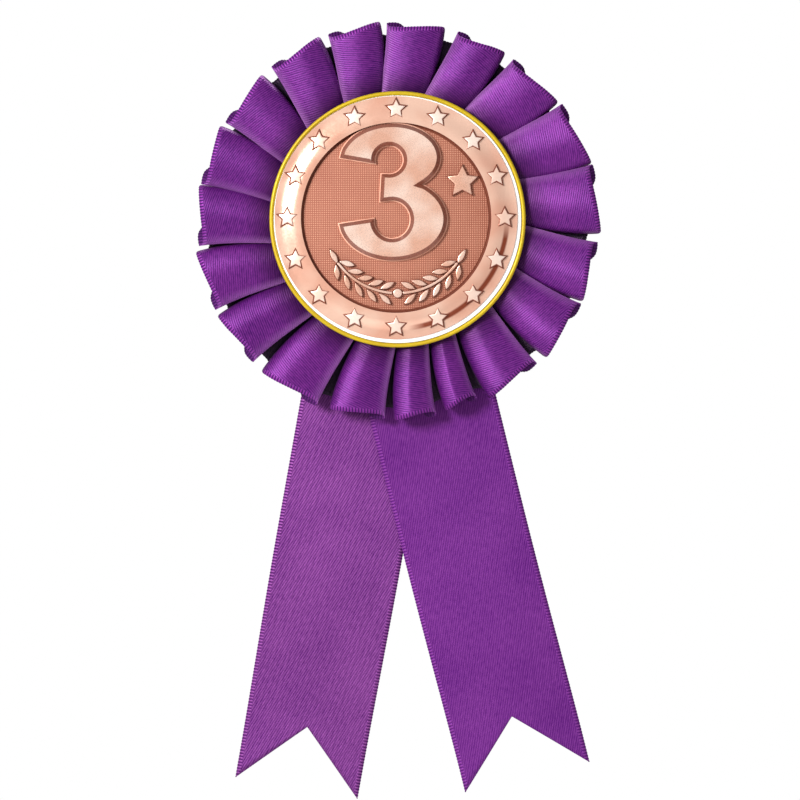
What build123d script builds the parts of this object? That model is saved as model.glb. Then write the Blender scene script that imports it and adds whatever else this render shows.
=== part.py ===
"""Award rosette: a pleated satin ruffle round an embossed medallion, two ribbon tails and a bar pin.

Millimetres. +Z is up, the front faces -Y, and the origin is the middle of the pin's needle.
Every "depth" is a distance in front of the needle's axis, so y = -depth.
"""

from build123d import *
from math import cos, radians, sin
import os

os.makedirs("parts", exist_ok=True)

# ---------------------------------------------------------------- driving dimensions

ROSETTE_Z = -18.0  # height of the rosette's centre, below the pin

# the stack, from the pin to the medallion, as depths
PLATE_DEPTH, PLATE_THICK = 1.9, 0.6
PAD_THICK = 1.0
BACK_CARD_THICK, BACK_CARD_R = 0.8, 32.5
BACK_GLUE_THICK = 0.4
RIBBON_THICK = 0.4
RIBBON_GAP = 0.3
CORE_CARD_THICK, CORE_CARD_R = 1.2, 30.0
HUB_CARD_THICK, HUB_CARD_R = 1.6, 18.5
FOAM_THICK, FOAM_R = 3.0, 17.0
MEDAL_PLATE_THICK, MEDAL_PLATE_R = 0.8, 33.2
MEDAL_CARD_THICK, MEDAL_CARD_R = 0.8, 32.35

PAD_DEPTH = PLATE_DEPTH + PLATE_THICK
BACK_CARD_DEPTH = PAD_DEPTH + PAD_THICK
BACK_GLUE_DEPTH = BACK_CARD_DEPTH + BACK_CARD_THICK
LEFT_DEPTH = BACK_GLUE_DEPTH + BACK_GLUE_THICK
RIGHT_DEPTH = LEFT_DEPTH + RIBBON_THICK + RIBBON_GAP
CORE_CARD_DEPTH = RIGHT_DEPTH + RIBBON_THICK
RUFFLE_DEPTH = CORE_CARD_DEPTH + CORE_CARD_THICK
FOAM_DEPTH = RUFFLE_DEPTH + HUB_CARD_THICK
MEDAL_PLATE_DEPTH = FOAM_DEPTH + FOAM_THICK
MEDAL_CARD_DEPTH = MEDAL_PLATE_DEPTH + MEDAL_PLATE_THICK
INSERT_DEPTH = MEDAL_CARD_DEPTH + MEDAL_CARD_THICK

# ribbon, the same for the ruffle and the tails
RIBBON_WIDTH = 33.3

# ruffle: how many degrees wide each hand-made pleat came out, anticlockwise from three o'clock
PLEAT_WIDTHS = [20, 20, 21, 19, 19, 18, 20, 19, 18, 19, 19, 20, 22, 19, 15, 13, 20, 19, 20]
FIRST_PLEAT_START = -4.0
RUFFLE_INNER_R = 19.5
SEWN_BAND_R = 23.0  # the gathered band is flat out to here
RUFFLE_R = 52.9
SEWN_THICK = 1.2
PLEAT_LOW, PLEAT_HIGH_INNER, PLEAT_HIGH_RIM = 1.4, 2.0, 7.0
PLEAT_LEAN = 5.5  # degrees that a crease leans clockwise from its root to the rim
PLEAT_LAP = 0.8  # degrees that each pleat runs under its neighbours

# tails: lean from vertical, offset from the centre, and distances down the tail's own middle line
LEFT_LEAN, LEFT_OFFSET = 10.1, 0.0
RIGHT_LEAN, RIGHT_OFFSET = 13.8, -2.8
ANCHOR_TOP = 4.0
LEFT_BEND = 33.1
RIGHT_BEND = 55.0
LEFT_TIPS, LEFT_NOTCH = 151.2, 135.0
RIGHT_TIPS, RIGHT_NOTCH = 150.5, 134.1
BEND_GAP = 0.15

# medallion
RIM_R, RIM_BORE_R, RIM_HEIGHT = 33.5, 32.4, 1.7
INSERT_R, INSERT_X, INSERT_Z = 31.75, -0.4, 0.4
BORDER_R = 24.7  # inner edge of the raised border
FIELD_THICK, EDGE_THICK, BORDER_THICK = 1.0, 0.8, 2.2
STAR_COUNT, STAR_ORBIT, STAR_R, STAR_WAIST = 16, 28.4, 2.9, 0.46
STAR_THICK = 2.6
LONE_STAR_X, LONE_STAR_Z, LONE_STAR_R = 16.9, 9.8, 4.6
RELIEF_THICK = 2.2
NUMERAL_THICK = 3.2

# numeral: two bowls, each an ellipse with a round counter
NUMERAL_X, NUMERAL_Z = -1.25, 7.1
UPPER_HALF_W, UPPER_HALF_H, UPPER_COUNTER_R = 13.2, 10.4, 4.0
LOWER_HALF_W, LOWER_HALF_H, LOWER_COUNTER_R = 14.5, 11.1, 4.5
BOWL_OVERLAP = 6.6
COUNTER_SHIFT = -1.4  # counters sit left of the bowls' centres, so the right side is heavier
TONGUE_LENGTH = 7.0

# laurel: two sprays on an arc inside the border
LAUREL_R, LEAF_LONG, LEAF_WIDE = 19.3, 2.5, 0.95
LEAF_FIRST, LEAF_STEP, LEAF_PAIRS = 9.0, 8.0, 6
LEAF_SPLAY, LEAF_OUT = 28.0, 1.5
STEM_WIDTH, TIE_R = 0.6, 1.5

# staples: flat wire, 12.7 mm crown
STAPLE_CROWN, STAPLE_WIRE, STAPLE_FLAT = 12.7, 0.5, 0.4
STAPLE_X, STAPLE_Z = 8.0, -9.0
STAPLE_CLEAR = 0.1
CLINCH_LENGTH = 4.5

# bar pin
PLATE_LENGTH, PLATE_WIDTH = 33.0, 5.2
PIN_HINGE_X = -14.0
BARREL_R, BARREL_HALF, BARREL_HOLE_R = 1.2, 1.3, 0.55
RIVET_R, RIVET_HEAD_R, RIVET_HEAD_THICK = 0.5, 0.9, 0.4
EAR_R, EAR_GAP, EAR_THICK, EAR_HOLE_R = 1.5, 0.1, 0.6, 0.52
NEEDLE_R, NEEDLE_TIP_R = 0.4, 0.06
NEEDLE_TAPER_X, NEEDLE_TIP_X = 12.0, 16.4
HOUSING_X, HOUSING_LENGTH = 13.6, 2.6
HOUSING_R, HOUSING_BORE_R, HOUSING_MOUTH = 2.1, 1.5, 1.8
ROTOR_R, ROTOR_HOLE_R, ROTOR_SLOT = 1.42, 0.6, 1.1
FLANGE_R, FLANGE_THICK, FLANGE_GAP = 1.8, 0.5, 0.08
TAB_ANGLE, TAB_R, TAB_WIDTH = -60.0, 3.6, 1.3


# ---------------------------------------------------------------- planes and outlines


def front(depth, x=0.0, z=ROSETTE_Z):
    """A plane facing the front: its x is the frame's X, its y is the frame's Z."""
    return Plane(origin=(x, -depth, z), x_dir=(1, 0, 0), z_dir=(0, -1, 0))


def radial(x, z):
    """A plane for sections that turn about the rosette's axis: x is the radius, y is the depth."""
    return Plane(origin=(x, 0, z), x_dir=(1, 0, 0), z_dir=(0, 0, -1))


def pleat_end(radius, angle):
    """A plane across a pleat: x runs anticlockwise round the rosette, y towards the front."""
    out = (cos(radians(angle)), 0, sin(radians(angle)))
    origin = (out[0] * radius, -RUFFLE_DEPTH, ROSETTE_Z + out[2] * radius)
    return Plane(origin=origin, x_dir=(-out[2], 0, out[0]), z_dir=out)


def down(lean, offset, distance):
    """The point on a tail's middle line at a distance from the rosette's centre, as (x, z)."""
    return offset + distance * sin(radians(lean)), ROSETTE_Z - distance * cos(radians(lean))


def across(lean):
    """The direction of a tail's width."""
    return (cos(radians(lean)), 0, sin(radians(lean)))


def star(radius):
    """The ten corners of an upright five-pointed star."""
    corners = []
    for step in range(10):
        reach = radius if step % 2 == 0 else radius * STAR_WAIST
        turn = radians(90 + 36 * step)
        corners.append((reach * cos(turn), reach * sin(turn)))
    return corners


# ---------------------------------------------------------------- cards, pad and foam

with BuildPart() as back_card:
    with BuildSketch(front(BACK_CARD_DEPTH)):
        Circle(BACK_CARD_R)
    extrude(amount=BACK_CARD_THICK)
back_card.part.label = "back_card"

staple_spots = [(-STAPLE_X, STAPLE_Z), (STAPLE_X, STAPLE_Z)]
leg_spots = [(x + side * STAPLE_CROWN / 2, z) for x, z in staple_spots for side in (-1, 1)]

with BuildPart() as core_card:
    with BuildSketch(front(CORE_CARD_DEPTH)):
        Circle(CORE_CARD_R)
        with Locations(*leg_spots):
            Rectangle(STAPLE_WIRE + STAPLE_CLEAR, STAPLE_FLAT + STAPLE_CLEAR, mode=Mode.SUBTRACT)
    extrude(amount=CORE_CARD_THICK)
core_card.part.label = "core_card"

with BuildPart() as hub_card:
    with BuildSketch(front(RUFFLE_DEPTH)):
        Circle(HUB_CARD_R)
        with Locations(*staple_spots):
            crown = STAPLE_CROWN + STAPLE_WIRE + 2 * STAPLE_CLEAR
            Rectangle(crown, STAPLE_FLAT + 4 * STAPLE_CLEAR, mode=Mode.SUBTRACT)
    extrude(amount=HUB_CARD_THICK)
hub_card.part.label = "hub_card"

with BuildPart() as medallion_foam:
    with BuildSketch(front(FOAM_DEPTH)):
        Circle(FOAM_R)
    extrude(amount=FOAM_THICK)
medallion_foam.part.label = "medallion_foam"

with BuildPart() as pin_pad:
    with BuildSketch(front(PAD_DEPTH, z=0.0)):
        SlotOverall(PLATE_LENGTH, PLATE_WIDTH)
    extrude(amount=PAD_THICK)
pin_pad.part.label = "pin_pad"

# ---------------------------------------------------------------- ruffle

with BuildPart() as ruffle_ribbon:
    with BuildSketch(front(RUFFLE_DEPTH)):
        Circle(SEWN_BAND_R + 1.0)
        Circle(RUFFLE_INNER_R, mode=Mode.SUBTRACT)
    extrude(amount=SEWN_THICK)
    pleat_start = FIRST_PLEAT_START
    for pleat_width in PLEAT_WIDTHS:
        half = radians(pleat_width / 2 + PLEAT_LAP)
        middle = pleat_start + pleat_width / 2
        root_half = SEWN_BAND_R * sin(half)
        rim_half = RUFFLE_R * sin(half)
        with BuildSketch(pleat_end(SEWN_BAND_R * cos(half), middle + PLEAT_LEAN)):
            Polygon(
                (-root_half, 0),
                (root_half, 0),
                (root_half, PLEAT_HIGH_INNER),
                (-root_half, PLEAT_LOW),
                align=None,
            )
        with BuildSketch(pleat_end(RUFFLE_R * cos(half), middle)):
            Polygon(
                (-rim_half, 0),
                (rim_half, 0),
                (rim_half, PLEAT_HIGH_RIM),
                (-rim_half, PLEAT_LOW),
                align=None,
            )
        loft(ruled=True)
        pleat_start += pleat_width
ruffle_ribbon.part.label = "ruffle_ribbon"

THREAD_R, THREAD_RING_R = 0.25, 21.2
with BuildPart() as gathering_thread:
    with BuildSketch(radial(0.0, ROSETTE_Z)):
        with Locations((THREAD_RING_R, RUFFLE_DEPTH + SEWN_THICK + THREAD_R)):
            Circle(THREAD_R)
    revolve(axis=Axis((0, 0, ROSETTE_Z), (0, 1, 0)))
gathering_thread.part.label = "gathering_thread"

# ---------------------------------------------------------------- tails


def streamer(lean, offset, depth, bend, tips, notch):
    """The moving length of a tail: round at its bend, with a swallowtail cut at the bottom."""
    x, z = down(lean, offset, bend)
    middle = -(depth + RIBBON_THICK / 2)
    side = Plane(origin=(x, middle, z), x_dir=(sin(radians(lean)), 0, -cos(radians(lean))), z_dir=across(lean))
    face = Plane(origin=(x, middle, z), x_dir=across(lean), z_dir=(0, -1, 0))
    with BuildPart() as tail:
        with BuildSketch(side):
            Rectangle(tips - bend, RIBBON_THICK, align=(Align.MIN, Align.CENTER))
            Circle(RIBBON_THICK / 2)
        extrude(amount=RIBBON_WIDTH / 2, both=True)
        with BuildSketch(face):
            with BuildLine():
                Polyline(
                    (-RIBBON_WIDTH / 2, bend - tips),
                    (0, bend - notch),
                    (RIBBON_WIDTH / 2, bend - tips),
                    close=True,
                )
            make_face()
        extrude(amount=RIBBON_THICK, both=True, mode=Mode.SUBTRACT)
    return tail.part


def streamer_anchor(lean, offset, depth, bend):
    """The held length of a tail, from under the hub down to its bend."""
    x, z = down(lean, offset, bend)
    face = Plane(origin=(x, -depth, z), x_dir=across(lean), z_dir=(0, -1, 0))
    above_bend = RIBBON_THICK / 2 + BEND_GAP
    with BuildPart() as anchor:
        with BuildSketch(face):
            with Locations((0, above_bend)):
                length = bend - ANCHOR_TOP - above_bend
                Rectangle(RIBBON_WIDTH, length, align=(Align.CENTER, Align.MIN))
        extrude(amount=RIBBON_THICK)
        with BuildSketch(front(depth)):
            with Locations(*leg_spots):
                Rectangle(STAPLE_WIRE + STAPLE_CLEAR, STAPLE_FLAT + STAPLE_CLEAR)
        extrude(amount=RIBBON_THICK, mode=Mode.SUBTRACT)
    return anchor.part


left_streamer = streamer(-LEFT_LEAN, LEFT_OFFSET, LEFT_DEPTH, LEFT_BEND, LEFT_TIPS, LEFT_NOTCH)
left_streamer.label = "left_streamer"
right_streamer = streamer(RIGHT_LEAN, RIGHT_OFFSET, RIGHT_DEPTH, RIGHT_BEND, RIGHT_TIPS, RIGHT_NOTCH)
right_streamer.label = "right_streamer"
left_streamer_anchor = streamer_anchor(-LEFT_LEAN, LEFT_OFFSET, LEFT_DEPTH, LEFT_BEND)
left_streamer_anchor.label = "left_streamer_anchor"
right_streamer_anchor = streamer_anchor(RIGHT_LEAN, RIGHT_OFFSET, RIGHT_DEPTH, RIGHT_BEND)
right_streamer_anchor.label = "right_streamer_anchor"

# ---------------------------------------------------------------- staples and glue

with BuildPart() as staples:
    for x, z in staple_spots:
        with BuildSketch(front(RUFFLE_DEPTH)):
            with Locations((x, z)):
                Rectangle(STAPLE_CROWN + STAPLE_WIRE, STAPLE_FLAT)
        extrude(amount=STAPLE_WIRE)
        for side in (-1, 1):
            with BuildSketch(front(RUFFLE_DEPTH)):
                with Locations((x + side * STAPLE_CROWN / 2, z)):
                    Rectangle(STAPLE_WIRE, STAPLE_FLAT)
            extrude(amount=-(RUFFLE_DEPTH - LEFT_DEPTH + STAPLE_WIRE / 2))
            with BuildSketch(front(LEFT_DEPTH)):
                with Locations((x + side * (STAPLE_CROWN / 2 - CLINCH_LENGTH / 2 + STAPLE_WIRE / 2), z)):
                    Rectangle(CLINCH_LENGTH, STAPLE_FLAT)
            extrude(amount=-STAPLE_WIRE / 2)
staples.part.label = "staples"

BACK_DOT_R, BACK_DOTS = 4.0, [(-12.0, -21.0), (10.0, -21.0)]
TAIL_DOT_R, TAIL_DOTS = 3.5, [(-9.0, -19.0), (9.0, -19.0), (0.0, -24.0)]
CARD_DOT_R, CARD_DOTS = 5.0, [(-17.0, 12.0), (17.0, 12.0), (0.0, 21.0)]

with BuildPart() as glue_dots:
    with BuildSketch(front(BACK_GLUE_DEPTH)):
        with Locations(*BACK_DOTS):
            Circle(BACK_DOT_R)
    extrude(amount=BACK_GLUE_THICK)
    with BuildSketch(front(LEFT_DEPTH + RIBBON_THICK)):
        with Locations(*TAIL_DOTS):
            Circle(TAIL_DOT_R)
    extrude(amount=RIBBON_GAP)
    with BuildSketch(front(BACK_GLUE_DEPTH)):
        with Locations(*CARD_DOTS):
            Circle(CARD_DOT_R)
    extrude(amount=CORE_CARD_DEPTH - BACK_GLUE_DEPTH)
glue_dots.part.label = "glue_dots"

# ---------------------------------------------------------------- medallion

with BuildPart() as medallion_backplate:
    with BuildSketch(front(MEDAL_PLATE_DEPTH)):
        Circle(MEDAL_PLATE_R)
    extrude(amount=MEDAL_PLATE_THICK)
medallion_backplate.part.label = "medallion_backplate"

with BuildPart() as medallion_card:
    with BuildSketch(front(MEDAL_CARD_DEPTH)):
        Circle(MEDAL_CARD_R)
    extrude(amount=MEDAL_CARD_THICK)
medallion_card.part.label = "medallion_card"

with BuildPart() as medallion_rim:
    bead_r = (RIM_R - RIM_BORE_R) / 2
    shoulder = MEDAL_CARD_DEPTH + RIM_HEIGHT - bead_r
    with BuildSketch(radial(0.0, ROSETTE_Z)):
        with BuildLine():
            Polyline(
                (RIM_BORE_R, shoulder),
                (RIM_BORE_R, MEDAL_CARD_DEPTH),
                (RIM_R, MEDAL_CARD_DEPTH),
                (RIM_R, shoulder),
            )
            ThreePointArc((RIM_R, shoulder), (RIM_R - bead_r, shoulder + bead_r), (RIM_BORE_R, shoulder))
        make_face()
    revolve(axis=Axis((0, 0, ROSETTE_Z), (0, 1, 0)))
medallion_rim.part.label = "medallion_rim"

insert_centre = (INSERT_X, ROSETTE_Z + INSERT_Z)
with BuildPart() as medal_insert:
    # disc with a flat field and a convex border
    with BuildSketch(radial(*insert_centre)):
        with BuildLine():
            Polyline(
                (BORDER_R, INSERT_DEPTH + FIELD_THICK),
                (0, INSERT_DEPTH + FIELD_THICK),
                (0, INSERT_DEPTH),
                (INSERT_R, INSERT_DEPTH),
                (INSERT_R, INSERT_DEPTH + EDGE_THICK),
            )
            ThreePointArc(
                (INSERT_R, INSERT_DEPTH + EDGE_THICK),
                ((BORDER_R + INSERT_R) / 2, INSERT_DEPTH + BORDER_THICK),
                (BORDER_R, INSERT_DEPTH + FIELD_THICK),
            )
        make_face()
    revolve(axis=Axis((insert_centre[0], 0, insert_centre[1]), (0, 1, 0)))
    # ring of stars
    with BuildSketch(front(INSERT_DEPTH + EDGE_THICK / 2, *insert_centre)):
        with PolarLocations(STAR_ORBIT, STAR_COUNT, start_angle=90, rotate=False):
            Polygon(*star(STAR_R), align=None)
    extrude(amount=STAR_THICK - EDGE_THICK / 2)
    # lone star and laurel sprays on the field
    with BuildSketch(front(INSERT_DEPTH + FIELD_THICK / 2, 0.0, ROSETTE_Z)):
        with Locations((LONE_STAR_X, LONE_STAR_Z)):
            Polygon(*star(LONE_STAR_R), align=None)
    extrude(amount=RELIEF_THICK - FIELD_THICK / 2)
    with BuildSketch(front(INSERT_DEPTH + FIELD_THICK / 2, 0.0, ROSETTE_Z)):
        for side in (-1, 1):
            for pair in range(LEAF_PAIRS):
                along = LEAF_FIRST + LEAF_STEP * pair
                for edge in (-1, 1):
                    turn = radians(-90 + side * along)
                    reach = LAUREL_R + edge * LEAF_OUT
                    with Locations((reach * cos(turn), reach * sin(turn))):
                        tilt = side * (along - edge * -LEAF_SPLAY)
                        Ellipse(LEAF_LONG, LEAF_WIDE, rotation=tilt)
            tip = LEAF_FIRST + LEAF_STEP * LEAF_PAIRS
            tip_turn = radians(-90 + side * tip)
            with Locations((LAUREL_R * cos(tip_turn), LAUREL_R * sin(tip_turn))):
                Ellipse(LEAF_LONG, LEAF_WIDE, rotation=side * tip)
            with BuildLine():
                stem_end = radians(-90 + side * tip)
                stem_middle = radians(-90 + side * tip / 2)
                ThreePointArc(
                    (0, -LAUREL_R),
                    (LAUREL_R * cos(stem_middle), LAUREL_R * sin(stem_middle)),
                    (LAUREL_R * cos(stem_end), LAUREL_R * sin(stem_end)),
                )
            trace(line_width=STEM_WIDTH)
        with Locations((0, -LAUREL_R)):
            Circle(TIE_R)
    extrude(amount=RELIEF_THICK - FIELD_THICK / 2)
    # numeral
    with BuildSketch(front(INSERT_DEPTH + FIELD_THICK / 2, NUMERAL_X, ROSETTE_Z + NUMERAL_Z)):
        total = 2 * (UPPER_HALF_H + LOWER_HALF_H) - BOWL_OVERLAP
        upper_z = total / 2 - UPPER_HALF_H
        lower_z = LOWER_HALF_H - total / 2
        with Locations((0, upper_z)):
            Ellipse(UPPER_HALF_W, UPPER_HALF_H)
        with Locations((0, lower_z)):
            Ellipse(LOWER_HALF_W, LOWER_HALF_H)
        with Locations((COUNTER_SHIFT, upper_z)):
            Circle(UPPER_COUNTER_R, mode=Mode.SUBTRACT)
        with Locations((COUNTER_SHIFT, lower_z)):
            Circle(LOWER_COUNTER_R, mode=Mode.SUBTRACT)
        # the open left side, between the two hooks
        with BuildLine():
            Polyline(
                (COUNTER_SHIFT, upper_z - UPPER_COUNTER_R),
                (COUNTER_SHIFT, upper_z + 0.4 * UPPER_COUNTER_R),
                (-1.2 * LOWER_HALF_W, upper_z - 0.2 * UPPER_COUNTER_R),
                (-1.2 * LOWER_HALF_W, lower_z + 0.2 * LOWER_COUNTER_R),
                (COUNTER_SHIFT, lower_z - 0.4 * LOWER_COUNTER_R),
                (COUNTER_SHIFT, lower_z + LOWER_COUNTER_R),
                close=True,
            )
        make_face(mode=Mode.SUBTRACT)
        # the tongue between the bowls
        tongue_z = (upper_z - UPPER_COUNTER_R + lower_z + LOWER_COUNTER_R) / 2
        tongue_height = upper_z - UPPER_COUNTER_R - lower_z - LOWER_COUNTER_R
        with Locations((COUNTER_SHIFT + 1, tongue_z)):
            Rectangle(TONGUE_LENGTH, tongue_height, align=(Align.MAX, Align.CENTER))
    extrude(amount=NUMERAL_THICK - FIELD_THICK / 2)
medal_insert.part.label = "medal_insert"

# ---------------------------------------------------------------- bar pin

with BuildPart() as pin_base:
    with BuildSketch(front(PLATE_DEPTH, z=0.0)):
        SlotOverall(PLATE_LENGTH, PLATE_WIDTH)
    extrude(amount=PLATE_THICK)
    # hinge ears
    ear_inside = BARREL_HALF + EAR_GAP
    for level in (-ear_inside - EAR_THICK, ear_inside):
        with BuildSketch(Plane.XY.offset(level)):
            with Locations((PIN_HINGE_X, 0)):
                Circle(EAR_R)
            with Locations((PIN_HINGE_X, -PLATE_DEPTH - PLATE_THICK / 2)):
                Rectangle(2 * EAR_R, PLATE_DEPTH + PLATE_THICK / 2, align=(Align.CENTER, Align.MIN))
            with Locations((PIN_HINGE_X, 0)):
                Circle(EAR_HOLE_R, mode=Mode.SUBTRACT)
        extrude(amount=EAR_THICK)
    # catch housing, open towards the wearer
    with BuildSketch(Plane.YZ.offset(HOUSING_X)):
        Circle(HOUSING_R)
        Circle(HOUSING_BORE_R, mode=Mode.SUBTRACT)
        Rectangle(2 * HOUSING_R, HOUSING_MOUTH, align=(Align.MIN, Align.CENTER), mode=Mode.SUBTRACT)
    extrude(amount=HOUSING_LENGTH)
pin_base.part.label = "pin_base"

with BuildPart() as pin_rivet:
    rivet_half = BARREL_HALF + EAR_GAP + EAR_THICK
    with BuildSketch(Plane.XY.offset(-rivet_half)):
        with Locations((PIN_HINGE_X, 0)):
            Circle(RIVET_R)
    extrude(amount=2 * rivet_half)
    for level in (-rivet_half - RIVET_HEAD_THICK, rivet_half):
        with BuildSketch(Plane.XY.offset(level)):
            with Locations((PIN_HINGE_X, 0)):
                Circle(RIVET_HEAD_R)
        extrude(amount=RIVET_HEAD_THICK)
pin_rivet.part.label = "pin_rivet"

with BuildPart() as pin_arm:
    with BuildSketch(Plane.XY.offset(-BARREL_HALF)):
        with Locations((PIN_HINGE_X, 0)):
            Circle(BARREL_R)
            Circle(BARREL_HOLE_R, mode=Mode.SUBTRACT)
    extrude(amount=2 * BARREL_HALF)
    needle_start = PIN_HINGE_X + (BARREL_R + BARREL_HOLE_R) / 2
    with BuildSketch(Plane.XY):
        with BuildLine():
            Polyline(
                (needle_start, 0),
                (needle_start, NEEDLE_R),
                (NEEDLE_TAPER_X, NEEDLE_R),
                (NEEDLE_TIP_X, NEEDLE_TIP_R),
                (NEEDLE_TIP_X, 0),
                close=True,
            )
        make_face()
    revolve(axis=Axis.X)
pin_arm.part.label = "pin_arm"

with BuildPart() as pin_catch:
    rotor_start = HOUSING_X - FLANGE_GAP
    rotor_end = HOUSING_X + HOUSING_LENGTH + FLANGE_GAP
    with BuildSketch(Plane.YZ.offset(rotor_start)):
        Circle(ROTOR_R)
    extrude(amount=rotor_end - rotor_start)
    with BuildSketch(Plane.YZ.offset(rotor_start - FLANGE_THICK)):
        Circle(FLANGE_R)
    extrude(amount=FLANGE_THICK)
    with BuildSketch(Plane.YZ.offset(rotor_end)):
        Circle(FLANGE_R)
        with Locations(Location((0, 0, 0), (0, 0, TAB_ANGLE))):
            Rectangle(TAB_R, TAB_WIDTH, align=(Align.MIN, Align.CENTER))
    extrude(amount=FLANGE_THICK)
    # bore and slot for the needle
    with BuildSketch(Plane.YZ.offset(rotor_start - FLANGE_THICK)):
        Circle(ROTOR_HOLE_R)
        Rectangle(2 * FLANGE_R, ROTOR_SLOT, align=(Align.MIN, Align.CENTER))
    extrude(amount=rotor_end - rotor_start + 2 * FLANGE_THICK, mode=Mode.SUBTRACT)
pin_catch.part.label = "pin_catch"

# ---------------------------------------------------------------- one file for each piece

PIECES = [
    back_card.part,
    core_card.part,
    hub_card.part,
    medallion_foam.part,
    pin_pad.part,
    ruffle_ribbon.part,
    gathering_thread.part,
    left_streamer,
    right_streamer,
    left_streamer_anchor,
    right_streamer_anchor,
    staples.part,
    glue_dots.part,
    medallion_backplate.part,
    medallion_card.part,
    medallion_rim.part,
    medal_insert.part,
    pin_base.part,
    pin_rivet.part,
    pin_arm.part,
    pin_catch.part,
]

for piece in PIECES:
    export_step(piece, f"parts/{piece.label}.step")
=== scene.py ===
"""Looks for the award rosette: satin ruffle and tails, embossed medallion, card, foam and bar pin.

Metres, +Z up, the rosette's front faces -Y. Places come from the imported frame.
"""

import math

import bmesh
import bpy
import numpy as np
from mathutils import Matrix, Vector, noise


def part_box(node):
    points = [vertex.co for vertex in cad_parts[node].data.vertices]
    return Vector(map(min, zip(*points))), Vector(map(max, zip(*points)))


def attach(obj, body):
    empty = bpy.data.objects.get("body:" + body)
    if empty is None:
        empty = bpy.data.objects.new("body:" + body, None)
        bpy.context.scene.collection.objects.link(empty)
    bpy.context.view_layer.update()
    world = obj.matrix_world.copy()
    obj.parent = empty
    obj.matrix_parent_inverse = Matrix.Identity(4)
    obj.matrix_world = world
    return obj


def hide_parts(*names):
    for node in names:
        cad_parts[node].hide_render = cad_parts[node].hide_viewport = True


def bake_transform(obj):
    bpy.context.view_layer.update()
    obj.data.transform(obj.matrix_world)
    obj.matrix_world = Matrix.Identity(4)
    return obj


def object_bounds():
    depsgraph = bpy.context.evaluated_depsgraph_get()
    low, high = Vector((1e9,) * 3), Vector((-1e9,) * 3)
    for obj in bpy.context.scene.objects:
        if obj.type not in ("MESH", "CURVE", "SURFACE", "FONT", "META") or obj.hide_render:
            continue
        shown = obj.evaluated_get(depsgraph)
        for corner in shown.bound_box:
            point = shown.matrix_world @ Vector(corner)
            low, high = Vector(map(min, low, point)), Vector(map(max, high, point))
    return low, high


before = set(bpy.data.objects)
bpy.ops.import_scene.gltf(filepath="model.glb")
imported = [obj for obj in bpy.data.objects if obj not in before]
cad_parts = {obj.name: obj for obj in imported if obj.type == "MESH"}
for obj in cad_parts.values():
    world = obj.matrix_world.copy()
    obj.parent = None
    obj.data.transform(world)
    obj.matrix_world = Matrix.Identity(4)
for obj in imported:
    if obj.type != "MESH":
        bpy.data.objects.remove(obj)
cad_low, cad_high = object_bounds()

MM = 0.001


# ---------------------------------------------------------------- places read from the frame


def middle(node):
    """The centre of a CAD node's box."""
    low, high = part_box(node)
    return (low + high) / 2


def front_y(node):
    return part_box(node)[0].y


def back_y(node):
    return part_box(node)[1].y


ROSETTE = Vector((middle("medallion_rim").x, 0, middle("medallion_rim").z))
INSERT_SHIFT = (middle("medal_insert").x - ROSETTE.x, middle("medal_insert").z - ROSETTE.z)
RIBBON_WIDTH = 33.3 * MM
RIBBON_THICK = 0.26 * MM

SAME_POINT, WELD_DISTANCE = 1e-7, 1e-6
# edges sharper than these, in degrees, stay crisp
RELIEF_SMOOTH, INSERT_SMOOTH, TURNED_SMOOTH = 35, 40, 50


# ---------------------------------------------------------------- mesh helpers


def add_mesh(name, verts, faces, uvs=None, slots=None, materials=(), smooth=True):
    """A mesh object. uvs gives each vertex its place on the ribbon and how open and how far out it lies."""
    mesh = bpy.data.meshes.new(name)
    mesh.from_pydata([tuple(v) for v in verts], [], [tuple(f) for f in faces])
    if uvs is not None:
        corner = np.empty(len(mesh.loops), np.int32)
        mesh.loops.foreach_get("vertex_index", corner)
        uvs = np.asarray(uvs, np.float32)[corner]
        for layer, columns in (("Ribbon", uvs[:, :2]), ("Fold", uvs[:, 2:4])):
            mesh.uv_layers.new(name=layer).data.foreach_set("uv", columns.ravel())
    for material in materials:
        mesh.materials.append(material)
    if slots is not None:
        mesh.polygons.foreach_set("material_index", np.asarray(slots, np.int32))
    mesh.polygons.foreach_set("use_smooth", [smooth] * len(mesh.polygons))
    mesh.validate()
    mesh.update()
    obj = bpy.data.objects.new(name, mesh)
    bpy.context.scene.collection.objects.link(obj)
    return obj


def smooth_by_angle(obj, degrees):
    """Marks edges sharper than this angle, so that only the rest shade smooth."""
    mesh = obj.data
    for polygon in mesh.polygons:
        polygon.use_smooth = True
    bm = bmesh.new()
    bm.from_mesh(mesh)
    for edge in bm.edges:
        edge.smooth = len(edge.link_faces) == 2 and edge.calc_face_angle(0) < math.radians(degrees)
    bm.to_mesh(mesh)
    bm.free()


def join(name, objects):
    """Joins mesh objects into one, keeping their materials."""
    context = {"active_object": objects[0], "selected_editable_objects": objects}
    with bpy.context.temp_override(**context):
        bpy.ops.object.join()
    objects[0].name = name
    objects[0].data.name = name
    return objects[0]


def lathe(name, profile, materials, centre=ROSETTE, steps=192, slots=None):
    """Turns a profile of (radius, y) points about the rosette's axis. A radius of 0 makes a pole."""
    verts, faces, indices, rings = [], [], [], []
    for radius, y in profile:
        if radius == 0:
            rings.append([len(verts)] * steps)
            verts.append((centre.x, y, centre.z))
            continue
        rings.append(list(range(len(verts), len(verts) + steps)))
        for k in range(steps):
            turn = 2 * math.pi * k / steps
            verts.append((centre.x + radius * math.cos(turn), y, centre.z + radius * math.sin(turn)))
    for level in range(len(rings) - 1):
        inner, outer = rings[level], rings[level + 1]
        for k in range(steps):
            n = (k + 1) % steps
            corners = dict.fromkeys((inner[k], outer[k], outer[n], inner[n]))
            faces.append(list(corners))
            indices.append(slots[level] if slots else 0)
    return add_mesh(name, verts, faces, slots=indices, materials=materials)


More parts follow.
